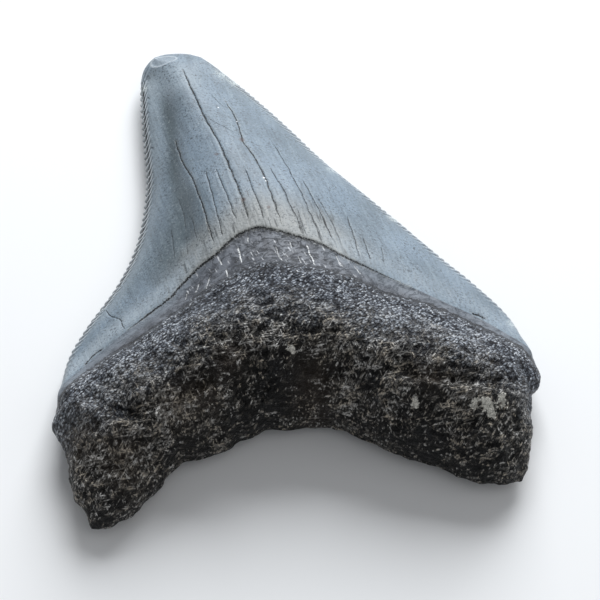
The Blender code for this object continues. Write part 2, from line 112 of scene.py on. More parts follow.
INNER_RELIEF = [
    (-0.60, 1.4, [(-17.8, 32.5), (-16.8, 29.4), (-16.1, 26.1), (-15.4, 21.8), (-15.0, 17.7),
        (-14.2, 13.8), (-13.4, 10.2), (-13.2, 7.0)]),
    (0.80, 0.9, [(1.7, -13.1), (3.8, -13.5), (5.6, -13.8), (7.8, -14.5), (9.9, -15.1),
        (11.6, -15.8)]),
    (0.80, 0.9, [(11.1, -14.4), (13.1, -14.6), (15.5, -14.9), (18.2, -15.1), (21.6, -14.8),
        (24.6, -13.6)]),
    (-0.80, 1.0, [(1.7, -12.0), (4.8, -12.3), (8.6, -12.7), (11.8, -12.9), (15.1, -13.1),
        (18.3, -13.5), (21.6, -13.2)]),
    (0.75, 0.9, [(-19.6, -18.6), (-17.4, -18.2), (-15.9, -17.9), (-14.5, -17.4), (-13.2, -16.8),
        (-12.0, -16.5), (-10.1, -15.6), (-8.4, -14.9)]),
    (-0.70, 1.0, [(-19.4, -17.0), (-17.3, -16.7), (-15.5, -16.4), (-13.9, -15.8), (-12.6, -15.2),
        (-11.6, -14.6), (-10.3, -13.9)]),
    (-0.35, 1.0, [(-24.8, -18.4), (-22.6, -18.9), (-20.4, -20.0), (-18.6, -22.0)]),
    (-0.40, 0.7, [(27.2, -11.4), (25.0, -11.6), (22.8, -12.8)]),
]
OUTER_RELIEF = [(-0.5, 2.4, [(-17.0, -8.0), (-9.0, -6.0), (-1.0, -5.4), (8.0, -7.0), (16.0, -9.0)])]

CROWN_RIM_Z = 2.6
ROOT_SIDE_RIM_Z = 4.0
ROOT_BASE_RIM_Z = 2.0
CROWN_RIM_ROUND = 0.9
ROOT_SIDE_ROUND = 3.6
ROOT_BASE_ROUND = 5.0
CROWN_BACK_ROUND = 7.0
ROOT_BACK_ROUND = 4.5
TOOTH_LUMPS = (0.10, 9.0)
ROOT_LUMPS = (0.30, 5.5)
ROOT_KNOBS = (0.16, 2.6)
WALL_LUMPS = (0.55, 3.6)
ENAMEL_STEP = 0.32
ROOT_STEP = 0.22
FACET_Z = 2.9
FACET_SLOPE = 0.62
FACET_FROM_Y = 33.0
TIP_Y = 36.9
SERRATIONS_PER_SIDE = 128
DISTAL_CROWN_START = 1.0 - 52 / 128
MESIAL_CROWN_START = 1.0 - 64 / 128
DISTAL_SERRATION_DEPTH = 0.17
MESIAL_SERRATION_DEPTH = 0.09
SERRATION_HEIGHT = 0.10
SERRATION_REACH = 0.9
SERRATION_SLANT = 0.55
CROWDED_BASE = 0.25

# ---- Fine detail that only this mesh has ----
# Cracks of the inner face: half width, darkness (1 black, -1 pale mineral), points along it.
CRACKS = [
    (0.100, 1.0, [(-14.5, 33.1), (-13.3, 29.6), (-12.2, 26.8), (-11.3, 23.9), (-10.1, 21.1),
        (-8.8, 17.7), (-8.0, 15.2), (-7.1, 12.6), (-6.2, 9.4), (-5.8, 7.8)]),
    (0.085, 1.0, [(-9.2, 28.3), (-7.6, 24.4), (-6.8, 20.5), (-5.8, 18.7), (-5.0, 16.9),
        (-4.3, 15.1), (-3.8, 13.5), (-3.0, 10.7), (-2.0, 7.0)]),
    (0.085, 1.0, [(-15.0, 22.3), (-14.1, 18.9), (-12.5, 14.7), (-10.9, 9.4), (-9.7, 4.8)]),
    (0.055, 0.9, [(-11.0, 15.6), (-10.1, 11.8), (-9.2, 7.6), (-8.8, 5.9)]),
    (0.055, 0.9, [(-9.8, 15.8), (-9.0, 13.2), (-8.1, 10.8), (-7.2, 7.6)]),
    (0.055, 0.9, [(-6.4, 15.6), (-5.1, 11.5), (-4.1, 7.8)]),
    (0.055, 0.9, [(-3.5, 16.3), (-2.0, 12.8), (-1.2, 10.4), (-0.3, 8.2), (0.1, 6.2)]),
    (0.050, 0.9, [(-3.2, 21.4), (-1.8, 17.8), (-0.4, 13.9), (0.9, 10.1), (2.1, 6.4)]),
    (0.055, 0.9, [(0.3, 14.7), (2.1, 10.5), (3.8, 5.6)]),
    (0.040, 0.7, [(2.0, 12.1), (3.4, 9.3), (4.8, 5.2)]),
    (0.055, 0.9, [(5.5, 10.2), (6.1, 7.4), (6.7, 4.0)]),
    (0.055, 0.9, [(7.3, 7.1), (8.0, 3.6)]),
    (0.040, 0.7, [(9.4, 6.1), (9.6, 3.5)]),
    (0.035, 0.6, [(-14.3, 13.2), (-13.6, 10.7), (-13.1, 8.0)]),
    (0.040, 0.6, [(-14.9, 8.9), (-14.4, 4.6)]),
    (0.040, 0.7, [(-12.5, 9.6), (-11.8, 6.2)]),
    (0.035, 0.6, [(-13.1, 7.3), (-12.8, 4.4)]),
    (0.035, 0.6, [(-0.3, 9.6), (0.7, 5.8)]),
    (0.035, 0.6, [(1.2, 9.4), (2.6, 5.6)]),
    (0.030, 0.6, [(-10.8, 28.9), (-9.3, 26.9)]),
    (0.030, 0.6, [(-11.1, 24.3), (-9.6, 23.1), (-7.8, 21.8)]),
    (0.060, 0.9, [(-22.3, -0.7), (-21.6, -1.7), (-20.6, -2.6), (-20.1, -3.6), (-19.7, -4.6)]),
    (0.130, 1.0, [(-24.1, -8.6), (-23.6, -7.6), (-23.0, -7.1), (-22.1, -6.7)]),
    (0.160, 1.0, [(19.6, -2.0), (20.3, -2.1), (21.1, -2.5)]),
    (0.090, -0.8, [(-9.1, 3.0), (-8.8, 1.9)]),
    (0.090, -0.8, [(-8.3, 1.1), (-8.1, -0.2)]),
    (0.090, -1.0, [(-7.0, 4.2), (-6.7, 3.0), (-6.5, 1.6)]),
    (0.080, -0.6, [(-5.9, 5.6), (-5.8, 4.7)]),
    (0.070, -0.6, [(-11.4, 0.0), (-11.6, -1.3)]),
    (0.080, -0.8, [(-10.2, 0.5), (-10.5, -1.2)]),
    (0.070, -0.6, [(-12.7, -1.0), (-12.9, -2.0)]),
    (0.090, -0.7, [(-2.7, 3.9), (-2.4, 2.6), (-1.9, 1.5)]),
    (0.080, -1.0, [(-1.1, 4.6), (-0.9, 3.7)]),
    (0.080, -0.8, [(-0.2, 2.4), (0.2, 1.2)]),
    (0.090, -1.0, [(0.8, 4.5), (1.2, 2.8), (1.8, 1.0)]),
    (0.080, -0.7, [(4.0, 3.4), (4.9, 1.5)]),
    (0.080, -0.6, [(6.1, 2.2), (6.9, 0.9)]),
]
# Crack along the foot of the enamel: half width, darkness, and x of its ends.
FOOT_CRACK = (0.150, 1.0, -19.6, 12.9)
# Depth of a crack that is CRACK_HALF wide each way; how far cracks wander, over what length.
CRACK_DEPTH = 0.10
CRACK_HALF = 0.08
CRACK_WOBBLE = (0.12, 1.7)

# Foot of the enamel on the outer face, which has no bourlette.
OUTER_FOOT = [
    (-27.2, -11.6), (-22.0, -10.6), (-15.0, -8.4), (-8.0, -6.6), (-1.0, -5.8), (7.0, -6.2),
    (15.0, -7.4), (22.0, -7.8), (26.4, -7.2)
]
OUTER_STEP = 0.14

# Shade painted dark along the hollow beside the distal edge: its line, its half width near the
# tip, how much wider it gets below VALLEY_SPREAD_Y, and where it fades out.
VALLEY = [(-18.2, 33.2), *INNER_RELIEF[0][2][1:-1], (-14.0, 7.4), (-15.2, 4.6)]
VALLEY_WIDTH = 1.0
VALLEY_SPREAD = 2.2
VALLEY_SPREAD_Y = 17.0
VALLEY_TOP_Y = 35.0
# Middle of the face (x, half width), and where its mesial part begins.
FACE_MIDDLE = (-4.0, 9.5)
MESIAL_FROM_X = 2.0
# Worn oval at the tip: middle, half length, half width, lean of its length above +X, dish.
WORN_OVAL = ((-17.0, 35.1), 1.65, 0.85, math.radians(19.0), 0.12)
# Spots and patches of the inner face: x, y, radius.
CHIPS = [
    (-9.6, 33.4, 0.9), (-8.2, 32.3, 0.6), (3.7, 18.6, 0.5), (11.0, 12.2, 0.6), (24.2, -2.6, 0.5),
    (-19.3, 31.4, 0.4)
]
# Light painted near the tip: a pale tone that lifts the shade beside the hollow there.
TIP_PAINTED_LIGHT = [(-17.0, 32.4, 2.4), (-14.8, 31.0, 2.4)]
WHITE_FLECKS = [
    (-9.9, 26.5, 0.13), (-9.8, 25.9, 0.10), (-7.6, 24.2, 0.12), (-4.2, 14.4, 0.16),
    (-4.0, 13.9, 0.14), (-13.9, 3.6, 0.12)
]
RUST_SPOTS = [(-6.9, 20.6, 0.45), (-6.5, 10.9, 0.35), (-9.8, 17.9, 0.30), (-3.6, 9.6, 0.30)]
PALE_SPOTS = [
    (18.7, -16.3, 0.50), (20.1, -16.1, 0.62), (20.8, -16.7, 0.50), (21.9, -15.4, 0.60),
    (12.4, -16.0, 0.45), (-0.9, -10.8, 0.45)
]
# Parts of the root with many pale marks, and with few.
PALE_ZONES = [
    (-21.8, -13.2, 4.0), (-15.2, -9.0, 3.2), (8.7, -6.8, 3.6), (18.0, -9.3, 3.8),
    (-14.0, -17.4, 1.8), (5.6, -13.9, 1.6), (9.2, -14.8, 1.5), (17.0, -15.0, 1.4),
    (-19.8, -21.4, 2.9)
]
DARK_ZONES = [
    (-4.9, -15.2, 3.2), (-8.1, -12.3, 2.1), (0.0, -11.8, 2.3), (13.4, -20.0, 3.5),
    (21.0, -21.5, 3.0), (-12.4, -19.4, 2.2), (7.6, -17.2, 2.4), (-20.5, -27.5, 2.2),
    (1.0, -16.5, 3.0)
]
OCHRE_SPOTS = [
    (-13.1, -16.1, 2.0), (-10.0, -15.1, 1.8), (1.6, -13.2, 2.4), (-23.8, -18.8, 2.2),
    (-7.5, -12.0, 1.6), (-19.0, -21.5, 2.5), (14.0, -13.4, 1.8)
]

# Spots that become fields of these names.
SPOT_FIELDS = {"tip": TIP_PAINTED_LIGHT, "white": WHITE_FLECKS, "rust": RUST_SPOTS, "chip": CHIPS,
               "pale": PALE_SPOTS, "ochre": OCHRE_SPOTS}

# Bumps, grain and layers of the bone, and its uneven outline: height, size.
BONE_BUMPS = (0.14, 0.75)
BONE_GRAIN = (0.16, 0.50)
BONE_LAYERS = (0.24, (3.0, 0.75, 0.75))
EDGE_BUMPS = (0.22, 2.6)

# Longest triangle sides: along the saw edge (as a share of a side), on the rest of the rim,
# their growth away from it, on each region, and at a crack.
RIM_STEP = 1.0 / (8 * SERRATIONS_PER_SIDE)
RIM_SIDE = 0.23
SIDE_GROWTH = 0.45
CROWN_SIDE = 0.85
ROOT_SIDE = 0.34
OUTER_SIDE = 1.10
OUTER_ROOT_SIDE = 0.62
CRACK_SIDE = 0.12

# Face that a vertex is on, and the material slots.
INNER = 0
OUTER = 1
RIM = -1
ENAMEL = 0
NECK = 1
BONE = 2


def dense(points, pieces=8):
    """Catmull-Rom curve through the points, as a fine polyline."""
    p = np.array(points, dtype=float)
    p = np.vstack([2 * p[0] - p[1], p, 2 * p[-1] - p[-2]])
    t = np.linspace(0.0, 1.0, pieces, endpoint=False)[:, None]
    spans = []
    for a, b, c, d in zip(p[:-3], p[1:-2], p[2:-1], p[3:]):
        bend = (2 * a - 5 * b + 4 * c - d) * t ** 2 + (3 * b - a - 3 * c + d) * t ** 3
        spans.append(0.5 * (2 * b + (c - a) * t + bend))
    return np.vstack(spans + [p[-2:-1]])


def travel(curve, parts):
    """Points at the given parts of a polyline's length."""
    step = np.hypot(*np.diff(curve, axis=0).T)
    run = np.concatenate([[0.0], np.cumsum(step)]) / step.sum()
    return np.column_stack([np.interp(parts, run, curve[:, k]) for k in (0, 1)])


def distance(xy, curve):
    """Distance of each point from a polyline."""
    best = np.full(len(xy), np.inf)
    for a, b in zip(curve[:-1], curve[1:]):
        ab = b - a
        t = np.clip((xy - a) @ ab / (ab @ ab), 0.0, 1.0)
        best = np.minimum(best, np.hypot(*(xy - a - t[:, None] * ab).T))
    return best


def smoothstep(t):
    """Smooth rise from 0 at t = 0 to 1 at t = 1."""
    t = np.clip(t, 0.0, 1.0)
    return t * t * (3.0 - 2.0 * t)


def lumps(xy, size, seed):
    """Smooth uneven swelling, mostly between -1 and 1."""
    rng = np.random.default_rng(seed)
    total = np.zeros(len(xy))
    waves = 7
    for _ in range(waves):
        angle = rng.uniform(0.0, math.tau)
        pace = math.tau / (size * rng.uniform(0.75, 1.6))
        along = xy @ np.array([math.cos(angle), math.sin(angle)])
        total += np.sin(along * pace + rng.uniform(0.0, math.tau))
    return 2.0 * total / waves


def thin_plate(spots):
    """Weights of the smooth sheet through the spot heights."""
    n = len(spots)
    r = np.hypot(spots[:, None, 0] - spots[None, :, 0], spots[:, None, 1] - spots[None, :, 1])
    plane = np.column_stack([np.ones(n), spots[:, :2]])
    system = np.zeros((n + 3, n + 3))
    system[:n, :n] = r ** 2 * np.log(r + 1e-9)
    system[:n, n:] = plane
    system[n:, :n] = plane.T
    return np.linalg.solve(system, np.concatenate([spots[:, 2], np.zeros(3)]))


DISTAL = (dense(DISTAL_ROOT), dense(DISTAL_CROWN), DISTAL_CROWN_START)
MESIAL = (dense(MESIAL_ROOT), dense(MESIAL_CROWN), MESIAL_CROWN_START)
TIP_CURVE = dense(TIP)
BASE_CURVE = dense(BASE)
SIDES_CURVE = np.vstack([DISTAL[0], DISTAL[1][1:], TIP_CURVE[1:], MESIAL[1][-2::-1],
                         MESIAL[0][-2::-1]])
ENAMEL_CURVE = dense(ENAMEL_FOOT)
ROOT_CURVE = dense(ROOT_TOP)
OUTER_CURVE = dense(OUTER_FOOT)
SPOTS = np.array(CROWN_SPOTS + ROOT_SPOTS)
SHEET = thin_plate(SPOTS)


def sheet_height(xy):
    """Height of the inner face before its rim is turned down."""
    total = SHEET[-3] + xy @ SHEET[-2:]
    for (x, y, _), weight in zip(SPOTS, SHEET[:-3]):
        r = np.hypot(xy[:, 0] - x, xy[:, 1] - y)
        total += weight * r ** 2 * np.log(r + 1e-9)
    return total


def side(curves, v):
    """Points of one side of the outline, from the root lobe (v = 0) to the tip (v = 1)."""
    root, crown, start = curves
    low = travel(root, np.clip(v / start, 0.0, 1.0))
    high = travel(crown, np.clip((v - start) / (1.0 - start), 0.0, 1.0))
    return np.where((v < start)[:, None], low, high)


def plan(u, v):
    """Points of the patch bent to the outline, with its low rows crowded to the base."""
    low_part = np.minimum(v / CROWDED_BASE, 1.0)
    v = np.where(v < CROWDED_BASE, CROWDED_BASE * (2 * low_part ** 2 - low_part ** 3), v)
    s = u[:, None]
    t = v[:, None]
    across = (1 - s) * side(DISTAL, v) + s * side(MESIAL, v)
    along = (1 - t) * travel(BASE_CURVE, u) + t * travel(TIP_CURVE, u)
    low = (1 - s) * BASE_CURVE[0] + s * BASE_CURVE[-1]
    high = (1 - s) * TIP_CURVE[0] + s * TIP_CURVE[-1]
    return across + along - (1 - t) * low - t * high


def outward(u, v):
    """Direction out of the nearer side of the outline."""
    step = 1.0 / (2 * SERRATIONS_PER_SIDE)
    before = np.maximum(v - step, 0.0)
    after = np.minimum(v + step, 1.0)
    distal = side(DISTAL, after) - side(DISTAL, before)
    mesial = side(MESIAL, before) - side(MESIAL, after)
    run = np.where((u < 0.5)[:, None], distal, mesial)
    run /= np.hypot(*run.T)[:, None]
    return np.column_stack([-run[:, 1], run[:, 0]])


def sawn_part(u, v):
    """One along the cutting edges, zero on the root and at the tip."""
    start = np.where(u < 0.5, DISTAL_CROWN_START, MESIAL_CROWN_START)
    return smoothstep((v - start) * 10.0) * smoothstep((1.0 - v) * 40.0)


def serration(u, v, rim_distance):
    """The saw edge, from -1 (notch) to 1 (point), and zero away from the cutting edges."""
    phase = v * SERRATIONS_PER_SIDE - SERRATION_SLANT * rim_distance
    return sawn_part(u, v) * np.cos(math.tau * phase) * np.exp(-rim_distance / SERRATION_REACH)


def turn_up(gap, radius, along, seed):
    """One at the rim, falling to zero where the face has finished turning up from it."""
    height, size = WALL_LUMPS
    angle = np.arccos(1.0 - np.clip(gap / radius, 0.0, 1.0))
    middle = 2.6 * np.sin(angle) ** 2 * np.cos(angle)
    up_the_wall = angle * ROOT_BASE_ROUND
    sway = height * middle * lumps(np.column_stack([along, up_the_wall]), size, seed)
    return 1.0 - np.clip((gap + sway * radius / ROOT_BASE_ROUND) / radius, 0.0, 1.0)


def ridges(xy, features):
    """Height of the ridges and hollows that run along these lines."""
    total = np.zeros(len(xy))
    for height, half_width, points in features:
        total += height * np.exp(-(distance(xy, dense(points, 4)) / half_width) ** 2)
    return total


def below(xy, curve):
    """How far each point lies below (-Y of) a curve that runs along X."""
    return np.interp(xy[:, 0], *curve.T) - xy[:, 1]


def spots(xy, places):
    """One at the middle of each place, fading out at its radius."""
    total = np.zeros(len(xy))
    for x, y, radius in places:
        total += np.exp(-((xy[:, 0] - x) ** 2 + (xy[:, 1] - y) ** 2) / radius ** 2)
    return np.minimum(total, 1.0)


def oval_reach(xy):
    """One on the edge of the worn oval, zero in its middle."""
    (x, y), half_length, half_width, lean, _ = WORN_OVAL
    dx = xy[:, 0] - x
    dy = xy[:, 1] - y
    along = (dx * math.cos(lean) + dy * math.sin(lean)) / half_length
    across = (dy * math.cos(lean) - dx * math.sin(lean)) / half_width
    return np.hypot(along, across)


def foot_crack():
    """The crack along the foot of the enamel, as an entry of CRACKS."""
    half_width, tone, first_x, last_x = FOOT_CRACK
    inside = (ENAMEL_CURVE[:, 0] > first_x) & (ENAMEL_CURVE[:, 0] < last_x)
    return half_width, tone, ENAMEL_CURVE[inside]


def crack_fields(xy):
    """Signed distance to the nearest crack, its half width there (0 far away), and its tone."""
    far = 0.6
    height, size = CRACK_WOBBLE
    wobble = np.column_stack([lumps(xy, size, 31), lumps(xy, size, 32)])
    moved = xy + 0.5 * height * wobble
    gap = np.full(len(xy), far)
    half = np.zeros(len(xy))
    tone = np.zeros(len(xy))
    lines = [(w, k, dense(p, 4), True) for w, k, p in CRACKS]
    lines.append((*foot_crack(), False))
    for half_width, colour, line, wobbly in lines:
        place = moved if wobbly else xy
        near = np.all((place > line.min(axis=0) - far) & (place < line.max(axis=0) + far), axis=1)
        near = np.flatnonzero(near)
        steps = len(line) - 1
        for k, (a, b) in enumerate(zip(line[:-1], line[1:])):
            ab = b - a
            off = place[near] - a
            t = np.clip(off @ ab / (ab @ ab), 0.0, 1.0)
            reach = np.hypot(*(off - t[:, None] * ab).T)
            closer = reach < np.abs(gap[near])
            hit = near[closer]
            turn = np.sign(ab[0] * off[closer, 1] - ab[1] * off[closer, 0])
            gap[hit] = np.where(turn < 0, -1.0, 1.0) * reach[closer]
            run = (k + t[closer]) / steps
            half[hit] = half_width * smoothstep(12 * run + 0.2) * smoothstep(12 * (1 - run))
            tone[hit] = colour
    half *= smoothstep((far - np.abs(gap)) / (0.4 * far))
    return gap, half, tone


def shape(u, v, face):
    """Surface points and the fields that the mesh rule and the materials read."""
    xy = plan(u, v)
    to_side = distance(xy, SIDES_CURVE)
    to_base = distance(xy, BASE_CURVE)
    to_rim = np.minimum(to_side, to_base)
    saw = serration(u, v, to_side)
    saw_depth = np.where(u < 0.5, DISTAL_SERRATION_DEPTH, MESIAL_SERRATION_DEPTH)
    xy = xy + (saw_depth * saw)[:, None] * outward(u, v)

    below_enamel = below(xy, ENAMEL_CURVE)
    below_root_top = below(xy, ROOT_CURVE)
    rootness = smoothstep(below_root_top / 2.4 + 0.4)
    uneven = np.column_stack([lumps(xy, EDGE_BUMPS[1], 41), lumps(xy, EDGE_BUMPS[1], 42)])
    xy = xy + EDGE_BUMPS[0] * (rootness * np.exp(-to_rim / 3.0))[:, None] * uneven
    rim_z = CROWN_RIM_Z + rootness * (ROOT_SIDE_RIM_Z - CROWN_RIM_Z)
    rim_z -= rootness * (ROOT_SIDE_RIM_Z - ROOT_BASE_RIM_Z) * np.exp(-to_base / 2.5)

    side_round = CROWN_RIM_ROUND + rootness * (ROOT_SIDE_ROUND - CROWN_RIM_ROUND)
    from_side = turn_up(to_side, side_round, xy[:, 1], 21)
    from_base = turn_up(to_base, ROOT_BASE_ROUND, xy[:, 0], 22)
    turned = np.sqrt((1.0 - from_side ** 2) * (1.0 - from_base ** 2))

    crack_gap, crack_half, crack_tone = crack_fields(xy)
    crack_half *= face == INNER
    groove = crack_half > 0.0
    depth = np.zeros(len(xy))
    narrow = crack_gap[groove] / (0.06 + 0.6 * crack_half[groove])
    depth[groove] = np.exp(-narrow ** 2) * crack_half[groove] / CRACK_HALF

    inner = sheet_height(xy) + ridges(xy, INNER_RELIEF) + SERRATION_HEIGHT * saw
    inner += TOOTH_LUMPS[0] * smoothstep(to_rim / 2.0) * lumps(xy, TOOTH_LUMPS[1], 3)
    inner += rootness * ROOT_LUMPS[0] * lumps(xy, ROOT_LUMPS[1], 11)
    inner += rootness * ROOT_KNOBS[0] * lumps(xy, ROOT_KNOBS[1], 12)
    step = ENAMEL_STEP * (0.35 + 0.65 * np.exp(-((xy[:, 0] + 4.0) / 14.0) ** 4))
    inner -= step * smoothstep(below_enamel / 0.35) * smoothstep(to_side / 2.0)
    inner += ROOT_STEP * smoothstep(below_root_top / 0.9)
    inner -= CRACK_DEPTH * depth
    inner = rim_z + np.maximum(inner - rim_z, 0.15) * turned
    facet = np.maximum(FACET_Z + FACET_SLOPE * (TIP_Y - xy[:, 1]), rim_z)
    inner = np.where(xy[:, 1] > FACET_FROM_Y, np.minimum(inner, facet), inner)
    oval = oval_reach(xy)
    inner -= WORN_OVAL[4] * (1.0 - smoothstep((oval - 0.75) / 0.30))

    below_outer = below(xy, OUTER_CURVE)
    back_round = CROWN_BACK_ROUND + rootness * (ROOT_BACK_ROUND - CROWN_BACK_ROUND)
    back = 1.0 - np.clip(to_rim / back_round, 0.0, 1.0)
    outer = rim_z * (rootness * (1.0 - np.sqrt(1.0 - back ** 2)) + (1.0 - rootness) * back ** 2)
    outer -= (1.0 - back) * ridges(xy, OUTER_RELIEF)
    outer += OUTER_STEP * smoothstep(below_outer / 0.35)

    z = np.where(face == INNER, inner, np.where(face == OUTER, outer, rim_z))
    on_outer = face == OUTER
    fields = {
        "to_rim": to_rim,
        "saw_phase": v * SERRATIONS_PER_SIDE - SERRATION_SLANT * to_side,
        "saw_reach": np.where(u < 0.5, 1.0, 0.65) * (to_side < 3.0) * sawn_part(u, v),
        "enamel_gap": np.clip(np.where(on_outer, below_outer, below_enamel), -8.0, 4.0),
        "root_gap": np.clip(np.where(on_outer, below_outer, below_root_top), -4.0, 12.0),
        "oval": np.where(on_outer, 4.0, np.minimum(oval, 4.0)),
        "crack_gap": crack_gap,
        "crack_half": crack_half,
        "crack_tone": crack_tone,
    }
    return np.column_stack([xy, z]), fields


def start_grid(columns=8, rows=8):
    """Coarse closed mesh of the patch: an inner and an outer sheet sharing their rim.

    A cell's diagonal starts at the patch's nearest corner, so that none joins two sides.
    """
    u, v, face, index = [], [], [], {}

    def vertex(i, j, sheet):
        on_rim = i in (0, columns) or j in (0, rows)
        key = (i, j, RIM if on_rim else sheet)
        if key not in index:
            index[key] = len(u)
            u.append(i / columns)
            v.append(j / rows)
            face.append(key[2])
        return index[key]

    triangles = []
    for sheet in (INNER, OUTER):
        for i in range(columns):
            for j in range(rows):
                a = vertex(i, j, sheet)
                b = vertex(i + 1, j, sheet)
                c = vertex(i + 1, j + 1, sheet)
                d = vertex(i, j + 1, sheet)
                rising = (i < columns / 2) == (j < rows / 2)
                pair = [(a, b, c), (a, c, d)] if rising else [(a, b, d), (b, c, d)]
                triangles += pair if sheet == INNER else [t[::-1] for t in pair]
    return np.array(u), np.array(v), np.array(face), np.array(triangles)


def side_wanted(face, fields):
    """Longest triangle side allowed, from the fields at the middle of each edge."""
    bare = smoothstep(fields["root_gap"] + 0.5)
    inner = CROWN_SIDE + (ROOT_SIDE - CROWN_SIDE) * bare
    outer = OUTER_SIDE + (OUTER_ROOT_SIDE - OUTER_SIDE) * bare
    limit = np.where(face == OUTER, outer, inner)
    growth = np.where(face == OUTER, 2.0, 1.0) * SIDE_GROWTH
    limit = np.minimum(limit, RIM_SIDE + 0.15 * bare + growth * fields["to_rim"])
    near_crack = CRACK_SIDE + 2.2 * np.abs(fields["crack_gap"])
    cracked = (face == INNER) & (fields["crack_half"] > 0.0)
    limit = np.where(cracked, np.minimum(limit, near_crack), limit)
    limit = np.minimum(limit, 0.16 + 0.8 * np.abs(fields["oval"] - 0.95))
    return np.minimum(limit, 0.22 + 0.6 * np.abs(fields["enamel_gap"]))


def coarse_edges(a, b, surface, fields):
    """Which edges are too long for the detail around them."""
    u, v, face, where = surface
    length = np.linalg.norm(where[a] - where[b], axis=1)
    mid_face = np.maximum(face[a], face[b])
    wanted = side_wanted(mid_face, {name: (f[a] + f[b]) / 2 for name, f in fields.items()})
    start = np.where(u[a] + u[b] < 1.0, DISTAL_CROWN_START, MESIAL_CROWN_START)
    mid_v = (v[a] + v[b]) / 2
    sawn = (mid_face == RIM) & (mid_v > start) & (mid_v < 1.0)
    return np.where(sawn, np.abs(v[a] - v[b]) > 1.01 * RIM_STEP, length > wanted), length


def halve(surface, fields, triangles):
    """Halve the longest side of each triangle that is too coarse, and of its neighbours."""
    u, v, face, where = surface
    low = np.minimum(triangles, np.roll(triangles, -1, axis=1))
    high = np.maximum(triangles, np.roll(triangles, -1, axis=1))
    keys, name = np.unique(low * len(u) + high, return_inverse=True)
    name = name.reshape(-1, 3)
    a, b = keys // len(u), keys % len(u)
    marked, length = coarse_edges(a, b, surface, fields)
    if not marked.any():
        return None
    rows = np.arange(len(triangles))
    longest = name[rows, np.argmax(length[name], axis=1)]
    while True:
        needed = marked[name].any(axis=1) & ~marked[longest]
        if not needed.any():
            break
        marked[longest[needed]] = True

    a, b = a[marked], b[marked]
    middle = [(u[a] + u[b]) / 2, (v[a] + v[b]) / 2, np.maximum(face[a], face[b])]
    where_new, fields_new = shape(*middle)
    grown = [np.concatenate(pair) for pair in zip(surface, middle + [where_new])]
    fields = {key: np.concatenate([fields[key], fields_new[key]]) for key in fields}
    number = np.full(len(keys), -1)
    number[marked] = len(u) + np.arange(len(a))

    turn = (np.argmax(length[name], axis=1)[:, None] + np.arange(3)) % 3
    p, q, r = np.take_along_axis(triangles, turn, axis=1).T
    pq, qr, rp = number[np.take_along_axis(name, turn, axis=1)].T
    split = pq >= 0
    pieces = [triangles[~split]]
    for corners, choose in (((p, pq, r), split & (rp < 0)), ((p, pq, rp), split & (rp >= 0)),
                            ((rp, pq, r), split & (rp >= 0)), ((pq, q, r), split & (qr < 0)),
                            ((pq, q, qr), split & (qr >= 0)), ((pq, qr, r), split & (qr >= 0))):
        pieces.append(np.column_stack(corners)[choose])
    return grown, fields, np.vstack(pieces)


def fine_surface():
    """Vertices in millimetres, their fields, and triangles of the closed tooth."""
    u, v, face, triangles = start_grid()
    where, fields = shape(u, v, face)
    surface = [u, v, face, where]
    while True:
        finer = halve(surface, fields, triangles)
        if finer is None:
            return surface, fields, triangles
        surface, fields, triangles = finer


def vertex_normals(where, triangles):
    """Normal of each vertex, from the triangles around it weighted by their area."""
    a, b, c = (where[triangles[:, k]] for k in range(3))
    face_normals = np.cross(b - a, c - a)
    total = np.zeros_like(where)
    for k in range(3):
        for axis in range(3):
            total[:, axis] += np.bincount(triangles[:, k], face_normals[:, axis], len(where))
    return total / np.linalg.norm(total, axis=1)[:, None]


def grain_noise(where, size, shift):
    return np.array([noise.noise(Vector(p)) for p in (where / size + shift).tolist()])


def bone_relief(where, lower):
    """Rounded bumps with sharp creases, finer grain, and level layers where lower is one."""
    bumps = BONE_BUMPS[0] * (2.0 * np.abs(grain_noise(where, BONE_BUMPS[1], 0.0)) - 0.45)
    grain = BONE_GRAIN[0] * grain_noise(where, BONE_GRAIN[1], 40.0)
    return bumps + grain + BONE_LAYERS[0] * lower * grain_noise(where, BONE_LAYERS[1], 80.0)


def face_fields(xy, on_inner):
    """Fields that only the materials read: spots, painted shade along the hollow, and parts of the
    inner face.
    """
    fields = {name: spots(xy, places) * on_inner for name, places in SPOT_FIELDS.items()}
    fields["marks"] = (spots(xy, PALE_ZONES) - spots(xy, DARK_ZONES)) * on_inner
    width = VALLEY_WIDTH + VALLEY_SPREAD * smoothstep((VALLEY_SPREAD_Y - xy[:, 1]) / 10.0)
    # Painted shade along the hollow: wider lower down, fading out towards the tip.
    hollow = np.exp(-(distance(xy, dense(VALLEY, 4)) / width) ** 2)
    fields["valley_shade"] = hollow * on_inner * smoothstep((VALLEY_TOP_Y - xy[:, 1]) / 6.0)
    middle_x, half_width = FACE_MIDDLE
    fields["middle"] = np.exp(-((xy[:, 0] - middle_x) / half_width) ** 2)
    fields["mesial"] = smoothstep((xy[:, 0] - MESIAL_FROM_X) / 12.0)
    return fields


